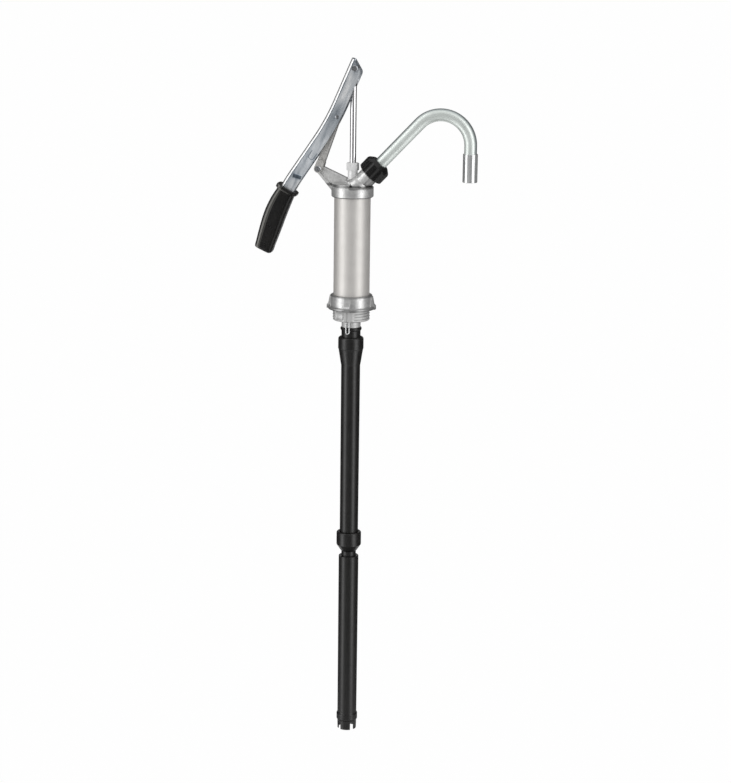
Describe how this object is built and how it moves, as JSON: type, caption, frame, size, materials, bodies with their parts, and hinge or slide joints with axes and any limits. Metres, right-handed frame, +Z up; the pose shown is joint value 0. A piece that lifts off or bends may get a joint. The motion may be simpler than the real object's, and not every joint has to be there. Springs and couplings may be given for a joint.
{
  "type": "lever drum pump",
  "caption": "Lever action piston pump for drums: bung base, cylinder, link-hung lever, swivelling bent spout and telescopic suction tube.",
  "frame": {"origin": "centre of the bung flange's underside, on the cylinder axis", "axes": "+Z up along the cylinder axis, +X towards the spout, lever on the -X side"},
  "size_m": [0.3558, 0.079, 1.1151],
  "materials": {
    "cast_alloy": "as cast, lightly tumbled",
    "cylinder_coat": "satin silver coat",
    "zinc_steel": "zinc plated pressed steel",
    "link_steel": "plated casting",
    "chrome_rod": "hard chrome",
    "bright_steel": "bright plated",
    "spout_plate": "satin plated tube",
    "tube_plastic": "moulded, black",
    "nut_plastic": "moulded, black",
    "grip_vinyl": "glossy dipped vinyl",
    "seal_rubber": "seal",
    "packing": "packing",
    "valve_plastic": "moulded, natural",
    "brass_bush": "turned"
  },
  "bodies": {
    "pump": {"bung_base": "cast_alloy", "base_gasket": "seal_rubber", "cylinder": "cylinder_coat", "head_gasket": "seal_rubber", "pump_head": "cast_alloy", "stuffing_box": "bright_steel", "gland_packing": "packing", "gland_nut": "bright_steel", "valve_cage": "valve_plastic", "inlet_o_ring": "seal_rubber", "inlet_clip": "bright_steel", "upper_suction_tube": "tube_plastic", "middle_suction_tube": "tube_plastic", "spout_gasket": "seal_rubber"},
    "rod": {"piston_rod": "chrome_rod", "piston_body": "valve_plastic", "piston_seal": "seal_rubber", "valve_stop": "zinc_steel", "piston_nut": "zinc_steel"},
    "lever": {"lever_channel": "zinc_steel", "hand_grip": "grip_vinyl", "rod_pin": "zinc_steel", "rod_spacers": "zinc_steel", "link_rivets": "zinc_steel"},
    "link": {"link_arm": "link_steel", "link_pin": "zinc_steel", "link_bush": "brass_bush"},
    "spout": {"spout_tube": "spout_plate", "spout_collar": "spout_plate", "outlet_sleeve": "bright_steel"},
    "union_nut": {"union_nut": "nut_plastic"},
    "lower_tube": {"lower_suction_tube": "tube_plastic", "tube_seal_ring": "seal_rubber"},
    "foot_valve": {"foot_valve_ball": "bright_steel"},
    "piston_valve": {"piston_valve_disc": "seal_rubber"}
  },
  "joints": [
    {"name": "rod_slide", "type": "slide", "parent": "pump", "child": "rod", "axis": [0, 0, -1], "range_m": [0, 0.0999]},
    {"name": "lever_swing", "type": "hinge", "parent": "rod", "child": "lever", "pos_m": [0.0036, 0, 0.3822], "axis": [0, 1, 0], "range_deg": [0, 90]},
    {"name": "link_swing", "type": "hinge", "parent": "pump", "child": "link", "pos_m": [-0.0545, 0, 0.2235], "axis": [0, -1, 0], "range_deg": [0, 32.89]},
    {"name": "spout_swivel", "type": "hinge", "parent": "pump", "child": "spout", "pos_m": [0, 0, 0.187], "axis": [0.6884, 0, 0.7254], "range_deg": [-120, 120]},
    {"name": "union_turn", "type": "hinge", "parent": "pump", "child": "union_nut", "pos_m": [0, 0, 0.187], "axis": [0.6884, 0, 0.7254], "range_deg": [0, 360]},
    {"name": "tube_slide", "type": "slide", "parent": "pump", "child": "lower_tube", "axis": [0, 0, -1], "range_m": [-0.0075, 0.2]},
    {"name": "foot_valve_lift", "type": "slide", "parent": "pump", "child": "foot_valve", "axis": [0, 0, 1], "range_m": [0, 0.006]},
    {"name": "piston_valve_lift", "type": "slide", "parent": "rod", "child": "piston_valve", "axis": [0, 0, 1], "range_m": [0, 0.004]}
  ],
  "couplings": [
    {"joint": "rod_slide", "follows": "lever_swing", "m_per_rad": 0.063598},
    {"joint": "link_swing", "follows": "lever_swing", "ratio": 0.3654}
  ]
}
